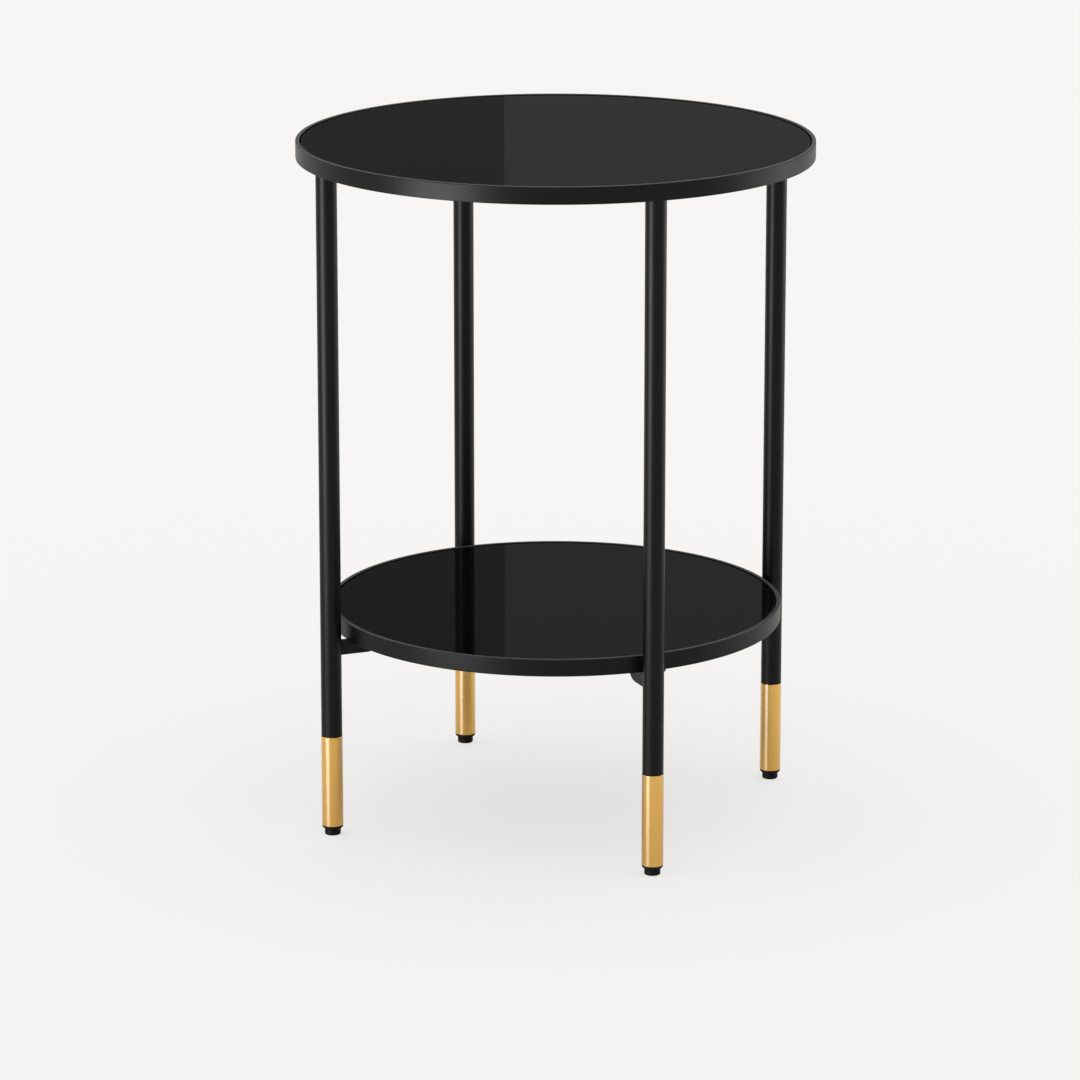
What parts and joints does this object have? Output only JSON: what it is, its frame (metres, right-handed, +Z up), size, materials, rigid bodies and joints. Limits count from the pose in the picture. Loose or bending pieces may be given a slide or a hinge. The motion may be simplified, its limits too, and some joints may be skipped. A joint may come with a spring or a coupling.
{
  "type": "tiered side table",
  "caption": "Round side table with a black glass top and a smaller lower shelf in slim steel rims, on straight tube legs with gold sleeves and levelling feet.",
  "frame": {"origin": "on the floor at the middle of the table, with the feet screwed in", "axes": "+Z up; the legs stand on the diagonals between X and Y, front is -Y"},
  "size_m": [0.3799, 0.38, 0.51],
  "materials": {
    "black_powder_coat": "satin",
    "black_glass": "polished",
    "satin_gold": "satin",
    "black_nylon": "moulded",
    "clear_silicone": "moulded",
    "zinc_steel": "zinc plated"
  },
  "bodies": {
    "frame": {"top_rim": "black_powder_coat", "shelf_rim": "black_powder_coat", "leg_tube_front_left": "black_powder_coat", "leg_tube_front_right": "black_powder_coat", "leg_tube_back_right": "black_powder_coat", "leg_tube_back_left": "black_powder_coat", "shelf_bracket_front_left": "black_powder_coat", "shelf_bracket_front_right": "black_powder_coat", "shelf_bracket_back_right": "black_powder_coat", "shelf_bracket_back_left": "black_powder_coat", "gold_sleeve_front_left": "satin_gold", "gold_sleeve_front_right": "satin_gold", "gold_sleeve_back_right": "satin_gold", "gold_sleeve_back_left": "satin_gold", "foot_socket_front_left": "black_nylon", "foot_socket_front_right": "black_nylon", "foot_socket_back_right": "black_nylon", "foot_socket_back_left": "black_nylon", "top_bumpers": "clear_silicone", "shelf_bumpers": "clear_silicone", "leg_bolts": "zinc_steel", "shelf_screws": "zinc_steel", "leg_bush_front_left": "zinc_steel", "leg_bush_front_right": "zinc_steel", "leg_bush_back_right": "zinc_steel", "leg_bush_back_left": "zinc_steel"},
    "top_glass": {"top_glass": "black_glass"},
    "shelf_glass": {"shelf_glass": "black_glass"},
    "foot_front_left": {"foot_head_front_left": "black_nylon", "foot_stud_front_left": "zinc_steel"},
    "foot_front_right": {"foot_head_front_right": "black_nylon", "foot_stud_front_right": "zinc_steel"},
    "foot_back_right": {"foot_head_back_right": "black_nylon", "foot_stud_back_right": "zinc_steel"},
    "foot_back_left": {"foot_head_back_left": "black_nylon", "foot_stud_back_left": "zinc_steel"}
  },
  "joints": [
    {"name": "top_glass_lift", "type": "slide", "parent": "frame", "child": "top_glass", "axis": [0, 0, 1], "range_m": [0, 0.04]},
    {"name": "shelf_glass_lift", "type": "slide", "parent": "frame", "child": "shelf_glass", "axis": [0, 0, 1], "range_m": [0, 0.04]},
    {"name": "foot_front_left_level", "type": "slide", "parent": "frame", "child": "foot_front_left", "axis": [0, 0, -1], "range_m": [0, 0.008]},
    {"name": "foot_front_right_level", "type": "slide", "parent": "frame", "child": "foot_front_right", "axis": [0, 0, -1], "range_m": [0, 0.008]},
    {"name": "foot_back_right_level", "type": "slide", "parent": "frame", "child": "foot_back_right", "axis": [0, 0, -1], "range_m": [0, 0.008]},
    {"name": "foot_back_left_level", "type": "slide", "parent": "frame", "child": "foot_back_left", "axis": [0, 0, -1], "range_m": [0, 0.008]}
  ]
}
